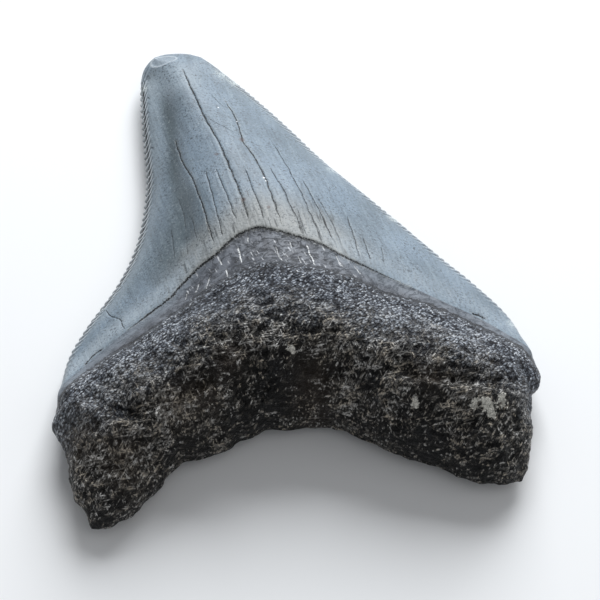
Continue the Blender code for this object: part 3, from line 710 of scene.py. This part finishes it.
def tooth_mesh():
    """The fine mesh, with its fields as attributes and a material for each region."""
    surface, fields, triangles = fine_surface()
    face, where = surface[2], surface[3]
    bare = smoothstep((fields["root_gap"] + 0.4) / 2.0)
    grainy = np.flatnonzero(bare > 0.0)
    relief = np.zeros(len(where))
    lower = smoothstep((fields["root_gap"][grainy] - 3.0) / 5.0)
    relief[grainy] = bone_relief(where[grainy], lower) * bare[grainy]
    fields["relief"] = relief
    calm = 0.45 + 0.55 * smoothstep(fields["to_rim"] / 1.5)
    where = where + (relief * calm)[:, None] * vertex_normals(where, triangles)

    low = surface[3].min(axis=0)
    high = surface[3].max(axis=0)
    to_frame = (TOOTH_LOW + TOOTH_HIGH) / 2 - (low + high) / 2 * MM
    to_frame[2] = TOOTH_LOW[2]
    points = np.clip(where * MM + to_frame, TOOTH_LOW, TOOTH_HIGH)

    mesh = bpy.data.meshes.new("tooth_fine")
    mesh.from_pydata(points.tolist(), [], triangles.tolist())
    mesh.shade_smooth()
    fields.update(face_fields(where[:, :2], face != OUTER))
    for name, values in fields.items():
        layer = mesh.attributes.new(name, "FLOAT", "POINT")
        layer.data.foreach_set("value", values.astype(np.float32))
    enamel = (fields["enamel_gap"] < -0.3)[triangles].all(axis=1)
    bone = (fields["root_gap"] > 1.6)[triangles].all(axis=1)
    which = np.where(enamel, ENAMEL, np.where(bone, BONE, NECK)).astype(np.int32)
    mesh.polygons.foreach_set("material_index", which)
    return mesh


# ---- Materials ----
# Size in mm of the long streaks in the enamel, and their turn from +Y in degrees.
STREAKS = (0.42, 6.0, 2.0)
STREAK_TURN = 19.0

ENAMEL_DARK = (0.146, 0.188, 0.226)
ENAMEL_LIGHT = (0.192, 0.248, 0.304)
STREAK_LIGHT = (0.255, 0.312, 0.352)
STREAK_DARK = (0.090, 0.112, 0.130)
# Shade painted along the hollow beside the distal edge.
HOLLOW_SHADE = (0.070, 0.090, 0.096)
# Pale tone painted at the tip as light.
TIP_PAINTED_PALE = (0.285, 0.340, 0.385)
FOOT_WARM = (0.270, 0.268, 0.250)
FOOT_SIDES = (0.300, 0.352, 0.398)
LINE_DARK = (0.100, 0.106, 0.104)
LINE_PALE = (0.340, 0.340, 0.315)
DASH = (0.036, 0.040, 0.040)
SPECKLE_DARK = (0.048, 0.058, 0.068)
SPECKLE_PALE = (0.355, 0.385, 0.400)
HAIR = (0.040, 0.048, 0.056)

# Light painted on the flange beside the saw edge.
FLANGE_LIGHT = (0.270, 0.310, 0.335)
# Dirt and painted shade in the notches of the saw edge.
NOTCH_DIRT_AND_SHADE = (0.026, 0.027, 0.030)
SAW_RIDGE = (0.540, 0.565, 0.580)
# Highlight painted along the very rim.
RIM_HIGHLIGHT = (0.440, 0.450, 0.450)
OVAL_FLOOR = (0.250, 0.285, 0.320)
OVAL_RING = (0.480, 0.520, 0.550)

BAND_DARK = (0.052, 0.057, 0.069)
BAND_LIGHT = (0.122, 0.133, 0.154)
BAND_STREAK = (0.130, 0.140, 0.158)
BAND_CREASE = (0.014, 0.015, 0.018)
BAND_SIDES = (0.180, 0.208, 0.240)
BAND_FLECK = (0.52, 0.53, 0.55)
# Shadow painted under the bourlette's lower edge.
BAND_BORDER_SHADOW = (0.010, 0.011, 0.014)

# Shade painted in the creases of the upper bone.
UPPER_CREASE_SHADE = (0.012, 0.012, 0.015)
UPPER_DARK = (0.025, 0.029, 0.038)
# Lighter grains of the upper bone, painted bluish as the sky's sheen on them.
UPPER_GRAIN_AND_SHEEN = (0.250, 0.276, 0.318)
# Glints painted as highlights on the upper bone.
UPPER_GLINT = (0.54, 0.57, 0.61)
# Shade painted in the creases of the lower bone.
LOWER_CREASE_SHADE = (0.003, 0.003, 0.003)
# Near-black of the lower root: its own dark colour, darkened further as painted shade.
LOWER_DARK = (0.006, 0.006, 0.006)
LOWER_FLAKE = (0.118, 0.107, 0.092)
FIBRE_GREY = (0.690, 0.675, 0.650)
FIBRE_BEIGE = (0.550, 0.485, 0.395)
FIBRE_DULL = (0.190, 0.180, 0.165)
OCHRE = (0.150, 0.105, 0.070)
PALE_CRUST = (0.74, 0.72, 0.65)

CRACK_BLACK = (0.004, 0.005, 0.006)
CRACK_PALE = (0.74, 0.75, 0.75)
CRACK_DUST = (0.370, 0.375, 0.345)
CHIPPED = (0.55, 0.60, 0.60)
RUSTY = (0.090, 0.050, 0.042)
WHITE = (0.80, 0.82, 0.84)


class Nodes:
    """Short ways to add and join the nodes of one material."""

    def __init__(self, name):
        self.material = bpy.data.materials.new(name)
        self.material.use_nodes = True
        self.tree = self.material.node_tree
        self.shader = self.tree.nodes["Principled BSDF"]

    def add(self, kind, inputs, **settings):
        """A node with these settings, its inputs fed by name or by number."""
        node = self.tree.nodes.new(kind)
        for key, value in settings.items():
            setattr(node, key, value)
        for key, value in inputs.items():
            self.feed(node.inputs[key], value)
        return node

    def feed(self, socket, value):
        if isinstance(value, bpy.types.NodeSocket):
            self.tree.links.new(value, socket)
        elif isinstance(value, tuple) and socket.type == "RGBA":
            socket.default_value = (*value, 1.0)
        else:
            socket.default_value = value

    def math(self, operation, first, second=0.0):
        node = self.add("ShaderNodeMath", {0: first, 1: second}, operation=operation)
        return node.outputs[0]

    def times(self, first, second):
        return self.math("MULTIPLY", first, second)

    def plus(self, first, second):
        return self.math("ADD", first, second)

    def minus(self, first, second):
        return self.math("SUBTRACT", first, second)

    def rise(self, value, low, high):
        """Smooth step from 0 at low to 1 at high; a fall if low is the greater."""
        ends = {"From Min": min(low, high), "From Max": max(low, high),
                "To Min": float(low > high), "To Max": float(low < high)}
        node = self.add("ShaderNodeMapRange", {"Value": value, **ends},
                        interpolation_type="SMOOTHSTEP")
        return node.outputs["Result"]

    def blend(self, part, first, second):
        """Colour between the first (part 0) and the second (part 1)."""
        inputs = {0: part, 6: first, 7: second}
        return self.add("ShaderNodeMix", inputs, data_type="RGBA").outputs[2]

    def laid(self, colour, where, strength, tint):
        """The colour with the tint laid over it, at this strength where the value is one."""
        return self.blend(self.times(where, strength), colour, tint)

    def between(self, part, first, second):
        """Value between the first (part 0) and the second (part 1)."""
        inputs = {0: part, 2: first, 3: second}
        return self.add("ShaderNodeMix", inputs, data_type="FLOAT").outputs[0]

    def field(self, name):
        return self.add("ShaderNodeAttribute", {}, attribute_name=name).outputs["Fac"]

    def grain_space(self, size=(1.0, 1.0, 1.0), turn=0.0):
        """Object coordinates in grains of this size in mm, their length turned from +Y."""
        inputs = {"Vector": self.add("ShaderNodeTexCoord", {}).outputs["Object"],
                  "Rotation": (0.0, 0.0, math.radians(turn)),
                  "Scale": tuple(s * MM for s in size)}
        return self.add("ShaderNodeMapping", inputs, vector_type="TEXTURE").outputs["Vector"]

    def bent(self, vector, amount):
        """The vector, pushed about by noise so that no pattern on it looks straight."""
        push = self.add("ShaderNodeTexNoise", {"Vector": vector, "Scale": 0.9, "Detail": 2.0})
        inputs = {0: push.outputs["Color"], 1: (amount, amount, amount), 2: vector}
        return self.add("ShaderNodeVectorMath", inputs, operation="MULTIPLY_ADD").outputs[0]

    def cells(self, vector):
        """Random value of each rounded cell, and the distance from its middle."""
        node = self.add("ShaderNodeTexVoronoi", {"Vector": vector, "Scale": 1.0}, feature="F1")
        channels = self.add("ShaderNodeSeparateColor", {0: node.outputs["Color"]})
        return channels.outputs[0], node.outputs["Distance"]

    def noise(self, vector, scale, detail=3.0, rough=0.55, distortion=0.0):
        inputs = {"Vector": vector, "Scale": scale, "Detail": detail, "Roughness": rough,
                  "Distortion": distortion}
        return self.add("ShaderNodeTexNoise", inputs).outputs["Fac"]

    def swing(self, *settings):
        """Noise about zero."""
        return self.minus(self.noise(*settings), 0.5)

    def finished(self, inputs):
        """The material, with these inputs of its shader."""
        for key, value in inputs.items():
            self.feed(self.shader.inputs[key], value)
        return self.material


def needles(n, size, turn, rarity):
    """Short marks of this size, turned from +Y, and fewer where rarity is high."""
    value, middle = n.cells(n.bent(n.grain_space(size, turn), 0.7))
    chosen = n.rise(n.minus(value, rarity), 0.0, 0.10)
    return n.times(chosen, n.rise(middle, 0.62, 0.30))


def enamel_foot(n, colour):
    """Warm middle and pale sides of the enamel's foot, with dark and pale lines and dashes."""
    gap = n.field("enamel_gap")
    middle = n.field("middle")
    broad = n.rise(middle, 0.05, 0.60)
    colour = n.laid(colour, n.rise(gap, -7.5, -1.5), n.times(broad, 0.80), FOOT_WARM)
    pale_side = n.times(n.rise(gap, -4.2, -1.9), n.rise(gap, 0.3, -1.5))
    strength = n.minus(0.85, n.times(n.field("mesial"), 0.60))
    colour = n.laid(colour, pale_side, n.times(n.minus(1.0, middle), strength), FOOT_SIDES)
    lines = n.noise(n.grain_space((0.28, 3.2, 1.0), 16.0), 1.0, 3.0, 0.6)
    near_foot = n.times(n.rise(gap, -6.0, -2.0), n.plus(0.40, n.times(broad, 0.60)))
    colour = n.laid(colour, n.times(n.rise(lines, 0.52, 0.62), near_foot), 0.45, LINE_DARK)
    colour = n.laid(colour, n.times(n.rise(lines, 0.46, 0.36), near_foot), 0.35, LINE_PALE)
    dash = n.times(needles(n, (0.30, 2.3, 0.6), 14.0, 0.76), n.rise(gap, -7.5, -4.0))
    dash = n.times(dash, n.times(n.rise(gap, 0.0, -0.8), broad))
    return n.laid(colour, dash, 0.85, DASH)


def enamel_colour(n, place, along):
    """Blue-grey enamel with speckles, streaks, hairs, shade painted in the hollow, light painted at
    the tip, and its own foot.
    """
    cloud = n.noise(place, 0.17, 3.0)
    colour = n.blend(n.rise(cloud, 0.36, 0.64), ENAMEL_DARK, ENAMEL_LIGHT)
    streak = n.noise(along, 1.0, 4.0, 0.65)
    colour = n.laid(colour, n.rise(streak, 0.50, 0.68), 0.40, STREAK_LIGHT)
    colour = n.laid(colour, n.rise(streak, 0.48, 0.32), 0.40, STREAK_DARK)
    # Shade painted dark along the hollow beside the distal edge.
    colour = n.laid(colour, n.field("valley_shade"), 0.72, HOLLOW_SHADE)
    # Light painted near the tip, against the shade of the hollow.
    colour = n.laid(colour, n.field("tip"), 0.75, TIP_PAINTED_PALE)
    colour = enamel_foot(n, colour)
    patchy = n.rise(n.noise(place, 0.35, 2.0), 0.40, 0.62)
    speckle = n.noise(place, 3.6, 4.0, 0.7)
    dark_part = n.plus(0.52, n.times(patchy, 0.46))
    colour = n.laid(colour, n.rise(speckle, 0.50, 0.68), dark_part, SPECKLE_DARK)
    colour = n.laid(colour, n.rise(speckle, 0.44, 0.30), 0.50, SPECKLE_PALE)
    hair = n.math("ABSOLUTE", n.swing(place, 0.95, 4.0, 0.6, 0.8))
    hair = n.times(n.rise(hair, 0.010, 0.002), patchy)
    return n.laid(colour, hair, 0.45, HAIR)


def edge_colour(n, colour):
    """Dirt and painted shade in the notches, pale worn ridges, painted light on flange and rim, the
    tip's oval.
    """
    wave = n.math("COSINE", n.times(n.field("saw_phase"), math.tau))
    to_rim = n.field("to_rim")
    reach = n.field("saw_reach")
    near = n.times(n.rise(to_rim, 1.05, 0.35), reach)
    # Paler band painted on the flange as the light falling on it.
    flange = n.times(n.rise(to_rim, 2.6, 1.1), n.rise(reach, 0.5, 0.9))
    colour = n.laid(colour, flange, 0.40, FLANGE_LIGHT)
    # Notches darkened: partly dirt, partly painted shade.
    colour = n.laid(colour, near, n.rise(wave, 0.3, -0.5), NOTCH_DIRT_AND_SHADE)
    colour = n.laid(colour, n.times(near, 0.85), n.rise(wave, 0.35, 0.90), SAW_RIDGE)
    # Highlight painted along the very rim of the tooth.
    colour = n.laid(colour, n.rise(to_rim, 0.45, 0.05), 0.35, RIM_HIGHLIGHT)
    oval = n.field("oval")
    colour = n.laid(colour, n.rise(oval, 1.00, 0.85), 0.50, OVAL_FLOOR)
    ring = n.times(n.rise(oval, 0.88, 0.98), n.rise(oval, 1.16, 1.04))
    return n.laid(colour, ring, 0.60, OVAL_RING)


def band_creases(n):
    """Thin wavy creases across the bourlette, one in their middle."""
    space = n.grain_space((2.2, 1.3, 1.0), 24.0)
    return n.rise(n.math("ABSOLUTE", n.swing(space, 1.0, 5.0, 0.66, 0.8)), 0.030, 0.006)


def band_colour(n, place, along):
    """The bourlette: thin dark enamel, mottled and creased, with small pale flecks."""
    cloud = n.noise(place, 0.9, 4.0, 0.6)
    colour = n.blend(n.rise(cloud, 0.38, 0.62), BAND_DARK, BAND_LIGHT)
    streak = n.noise(along, 1.4, 3.0, 0.6)
    colour = n.laid(colour, n.rise(streak, 0.52, 0.68), 0.40, BAND_STREAK)
    middle = n.field("middle")
    crease_part = n.times(n.rise(middle, 0.2, 0.8), 0.70)
    colour = n.laid(colour, band_creases(n), crease_part, BAND_CREASE)
    pale_side = n.times(n.rise(middle, 0.75, 0.25), n.rise(n.field("enamel_gap"), 2.4, 0.4))
    strength = n.minus(0.85, n.times(n.field("mesial"), 0.45))
    colour = n.laid(colour, pale_side, strength, BAND_SIDES)
    fleck = n.times(needles(n, (0.18, 0.90, 0.6), 24.0, 0.89), n.rise(middle, 0.15, 0.45))
    return n.laid(colour, fleck, 0.85, BAND_FLECK)


def bone_grain(n):
    """Value and distance from the middle of the small rounded grains that cover the root."""
    return n.cells(n.bent(n.grain_space((0.33, 0.22, 0.4), 40.0), 0.8))


def lower_part(n):
    """One on the lower root, zero just below the bourlette, with an uneven border."""
    uneven = n.times(n.swing(n.grain_space(), 0.24, 2.0), 8.0)
    return n.rise(n.plus(n.field("root_gap"), uneven), 3.0, 12.0)


def upper_bone(n, place, value, coverage, high):
    """Grains painted lighter and bluish as sky sheen, with painted glints and shade painted in the
    creases.
    """
    colour = n.blend(n.rise(n.plus(value, coverage), 0.16, 0.96), UPPER_DARK, UPPER_GRAIN_AND_SHEEN)
    broken = n.times(n.swing(place, 3.0, 3.0, 0.6), 1.6)
    glint = n.plus(n.times(coverage, 0.7), n.plus(value, broken))
    # Glints painted as highlights on the grains.
    colour = n.laid(colour, n.rise(glint, 0.82, 0.96), 0.9, UPPER_GLINT)
    # Shade painted in the creases.
    return n.blend(high, UPPER_CREASE_SHADE, colour)


def lower_bone(n, place, coverage, high):
    """Near-black bone, darkened further as painted shade, with brown-grey flakes and thin pale
    fibres in three directions.
    """
    rarity = n.minus(0.63, coverage)
    leaning = needles(n, (0.19, 1.55, 0.5), -32.0, n.minus(rarity, 0.02))
    upright = needles(n, (0.18, 1.00, 0.4), 24.0, n.plus(rarity, 0.06))
    level = needles(n, (0.18, 2.10, 0.5), -80.0, n.plus(rarity, 0.03))
    fibres = n.math("MAXIMUM", n.math("MAXIMUM", leaning, upright), level)
    flaky = n.noise(n.grain_space((1.5, 0.6, 0.6), 62.0), 1.0, 5.0, 0.72)
    flaky = n.rise(n.plus(flaky, n.times(coverage, 0.26)), 0.44, 0.66)
    dark = n.blend(high, LOWER_CREASE_SHADE, n.blend(flaky, LOWER_DARK, LOWER_FLAKE))
    pale = n.blend(n.rise(n.noise(place, 0.6, 2.0), 0.42, 0.60), FIBRE_GREY, FIBRE_BEIGE)
    pale = n.blend(n.rise(n.noise(place, 2.2, 3.0, 0.6), 0.58, 0.42), pale, FIBRE_DULL)
    # Fibres dimmed in the creases as painted shade.
    return n.laid(dark, fibres, n.plus(0.35, n.times(high, 0.5)), pale)


def bone_colour(n, place, grain):
    """Bone painted lighter and bluish below the bourlette as sky sheen, near-black further down,
    and pale crusts.
    """
    value, middle = grain
    relief = n.field("relief")
    uneven = n.plus(0.35, n.times(lower_part(n), 0.60))
    # Coverage rises with the relief, so the painted glints gather on the raised grain.
    coverage = n.plus(n.times(n.swing(place, 0.24, 3.0), 0.90), n.times(relief, 0.50))
    coverage = n.plus(coverage, n.times(n.swing(place, 0.85, 3.0, 0.6), uneven))
    coverage = n.plus(coverage, n.times(n.field("marks"), 0.24))
    # high is one on raised grain and zero in the creases, where shade is painted and pale marks and
    # crusts are dimmed.
    high = n.times(n.rise(middle, 0.80, 0.35), n.rise(relief, -0.20, 0.0))
    upper = upper_bone(n, place, value, coverage, high)
    # The lower root is near-black, partly its own colour and partly painted shade where it faces
    # down.
    colour = n.blend(lower_part(n), upper, lower_bone(n, place, coverage, high))
    colour = n.laid(colour, n.field("ochre"), 0.12, OCHRE)
    ragged = n.plus(n.times(n.noise(place, 1.8, 4.0, 0.6), 1.6), n.times(value, 0.45))
    crust = n.rise(n.plus(n.field("pale"), ragged), 1.42, 1.60)
    return n.laid(colour, crust, n.plus(0.45, n.times(high, 0.55)), PALE_CRUST)


def with_cracks(n, place, colour):
    """Cracks, chips and small spots laid over the colour, and how far a point is in a crack."""
    fine = n.noise(place, 6.0, 3.0, 0.6)
    jitter = n.times(n.swing(place, 5.0, 3.0, 0.7), 0.16)
    gap = n.math("ABSOLUTE", n.plus(n.field("crack_gap"), jitter))
    width = n.times(n.field("crack_half"), n.rise(fine, 0.36, 0.56))
    in_crack = n.rise(n.minus(width, gap), -0.022, 0.014)
    tone = n.field("crack_tone")
    beside = n.times(n.rise(n.minus(gap, width), 0.26, 0.02), n.rise(tone, 0.92, 0.98))
    colour = n.laid(colour, n.times(beside, n.rise(fine, 0.50, 0.62)), 0.60, CRACK_DUST)
    colour = n.laid(colour, in_crack, n.math("MAXIMUM", tone, 0.0), CRACK_BLACK)
    colour = n.laid(colour, in_crack, n.math("MAXIMUM", n.times(tone, -1.0), 0.0), CRACK_PALE)
    colour = n.laid(colour, n.field("chip"), n.rise(fine, 0.42, 0.58), CHIPPED)
    colour = n.laid(colour, n.rise(n.field("rust"), 0.3, 0.8), 0.55, RUSTY)
    return n.blend(n.rise(n.field("white"), 0.35, 0.60), colour, WHITE), in_crack


def finish(n, colour, relief, roughness, specular):
    """Join colour, relief in mm and roughness to the shader."""
    bump = n.add("ShaderNodeBump", {"Distance": MM, "Strength": 1.0, "Height": relief})
    return n.finished({"Normal": bump.outputs[0], "Base Color": colour, "Roughness": roughness,
                       "Specular IOR Level": specular})


def enamel_finish(n, place, along):
    """Relief and roughness of the enamel."""
    fine = n.noise(place, 3.2, 4.0, 0.65)
    relief = n.plus(n.times(fine, 0.050), n.times(n.noise(along, 1.0, 3.0, 0.6), 0.050))
    return relief, n.plus(0.42, n.times(fine, 0.16))


def bone_finish(n, place, grain):
    """Relief and roughness of the bone: rounded grains, fine roughness and level layers."""
    fine = n.noise(place, 4.5, 4.0, 0.65)
    layers = n.noise(n.grain_space((2.2, 0.45, 0.45), -4.0), 1.0, 3.0, 0.6)
    relief = n.plus(n.times(n.rise(grain[1], 1.0, 0.0), 0.17), n.times(fine, 0.16))
    relief = n.plus(relief, n.times(n.times(layers, lower_part(n)), 0.30))
    return relief, n.plus(0.30, n.times(fine, 0.26))


def enamel_material():
    n = Nodes("enamel")
    place = n.grain_space()
    along = n.grain_space(STREAKS, STREAK_TURN)
    colour = edge_colour(n, enamel_colour(n, place, along))
    colour, in_crack = with_cracks(n, place, colour)
    relief, roughness = enamel_finish(n, place, along)
    relief = n.minus(relief, n.times(in_crack, 0.05))
    return finish(n, colour, relief, roughness, 0.4)


def neck_material():
    """The foot of the enamel, the bourlette and its ragged border with the bone, where a shadow
    line is painted.
    """
    n = Nodes("bourlette")
    place = n.grain_space()
    along = n.grain_space(STREAKS, STREAK_TURN)
    grain = bone_grain(n)
    ragged = n.times(n.swing(place, 1.1, 4.0, 0.6), 2.0)
    to_band = n.rise(n.field("enamel_gap"), -0.02, 0.12)
    to_bone = n.rise(n.plus(n.field("root_gap"), ragged), -0.2, 0.9)

    colour = edge_colour(n, enamel_colour(n, place, along))
    colour = n.blend(to_band, colour, band_colour(n, place, along))
    colour = n.blend(to_bone, colour, bone_colour(n, place, grain))
    # Dark line painted along the bourlette's lower border as the shadow under its step.
    border = n.times(n.rise(to_bone, 0.00, 0.18), n.rise(to_bone, 1.00, 0.68))
    faint = n.minus(0.92, n.times(n.field("middle"), 0.50))
    colour = n.laid(colour, border, faint, BAND_BORDER_SHADOW)
    colour, in_crack = with_cracks(n, place, colour)

    enamel_relief, enamel_roughness = enamel_finish(n, place, along)
    bumpy = n.times(n.noise(place, 1.5, 4.0, 0.6), 0.16)
    band_relief = n.minus(bumpy, n.times(band_creases(n), 0.05))
    rough_relief, bone_roughness = bone_finish(n, place, grain)
    relief = n.between(to_band, enamel_relief, band_relief)
    relief = n.between(to_bone, relief, rough_relief)
    relief = n.minus(relief, n.times(in_crack, 0.05))
    return finish(n, colour, relief, n.between(to_bone, enamel_roughness, bone_roughness), 0.4)


def bone_material():
    n = Nodes("bone")
    place = n.grain_space()
    grain = bone_grain(n)
    return finish(n, bone_colour(n, place, grain), *bone_finish(n, place, grain), 0.2)


def new_object(name, data):
    thing = bpy.data.objects.new(name, data)
    bpy.context.scene.collection.objects.link(thing)
    return thing


def add_tooth():
    mesh = tooth_mesh()
    for material in (enamel_material(), neck_material(), bone_material()):
        mesh.materials.append(material)
    tooth = new_object("tooth_fine", mesh)
    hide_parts("tooth")
    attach(tooth, "root")


# ---- Floor, light and camera ----
FLOOR_SIZE = 3.0
FLOOR_COLOUR = (0.86, 0.86, 0.86)
# Lights: place, side, power in watts, colour.
KEY_LIGHT = ((0.07, 0.42, 0.33), 0.34, 4.4, (0.94, 0.97, 1.0))
FILL_LIGHT = ((0.30, -0.10, 0.50), 0.50, 0.35, (1.0, 1.0, 1.0))
SKY_COLOUR = (0.93, 0.96, 1.0, 1.0)
SKY_STRENGTH = 0.30
# Camera: tilt from straight down, distance from LOOK_AT, and the picture's scale there.
CAMERA_TILT = math.radians(30.0)
CAMERA_REACH = 0.210
LOOK_AT = (0.0002, -0.0050, 0.005)
PIXELS_PER_METRE = 8740.0
FRAME_PIXELS = 600.0
SENSOR = 36.0


def add_floor():
    half = FLOOR_SIZE / 2
    mesh = bpy.data.meshes.new("floor")
    mesh.from_pydata([(-half, -half, 0), (half, -half, 0), (half, half, 0), (-half, half, 0)],
                     [], [(0, 1, 2, 3)])
    paint = {"Base Color": FLOOR_COLOUR, "Roughness": 0.9}
    mesh.materials.append(Nodes("floor").finished(paint))
    floor = new_object("floor", mesh)


def add_light(name, place, size, power, colour):
    """A square light that faces the origin."""
    data = bpy.data.lights.new(name, "AREA")
    data.size = size
    data.energy = power
    data.color = colour
    light = new_object(name, data)
    light.location = place
    light.rotation_euler = (-light.location).to_track_quat("-Z", "Y").to_euler()


def add_lights():
    add_light("key", *KEY_LIGHT)
    add_light("fill", *FILL_LIGHT)
    world = bpy.data.worlds.new("studio")
    world.use_nodes = True
    background = world.node_tree.nodes["Background"]
    background.inputs["Color"].default_value = SKY_COLOUR
    background.inputs["Strength"].default_value = SKY_STRENGTH
    bpy.context.scene.world = world


def add_camera():
    data = bpy.data.cameras.new("camera")
    data.sensor_width = SENSOR
    data.lens = SENSOR * PIXELS_PER_METRE * CAMERA_REACH / FRAME_PIXELS
    camera = new_object("camera", data)
    back = Vector((0.0, -math.sin(CAMERA_TILT), math.cos(CAMERA_TILT)))
    camera.location = Vector(LOOK_AT) + back * CAMERA_REACH
    camera.rotation_euler = (CAMERA_TILT, 0.0, 0.0)
    bpy.context.scene.camera = camera


add_tooth()
add_floor()
add_lights()
add_camera()
bpy.context.scene.view_settings.view_transform = "Standard"
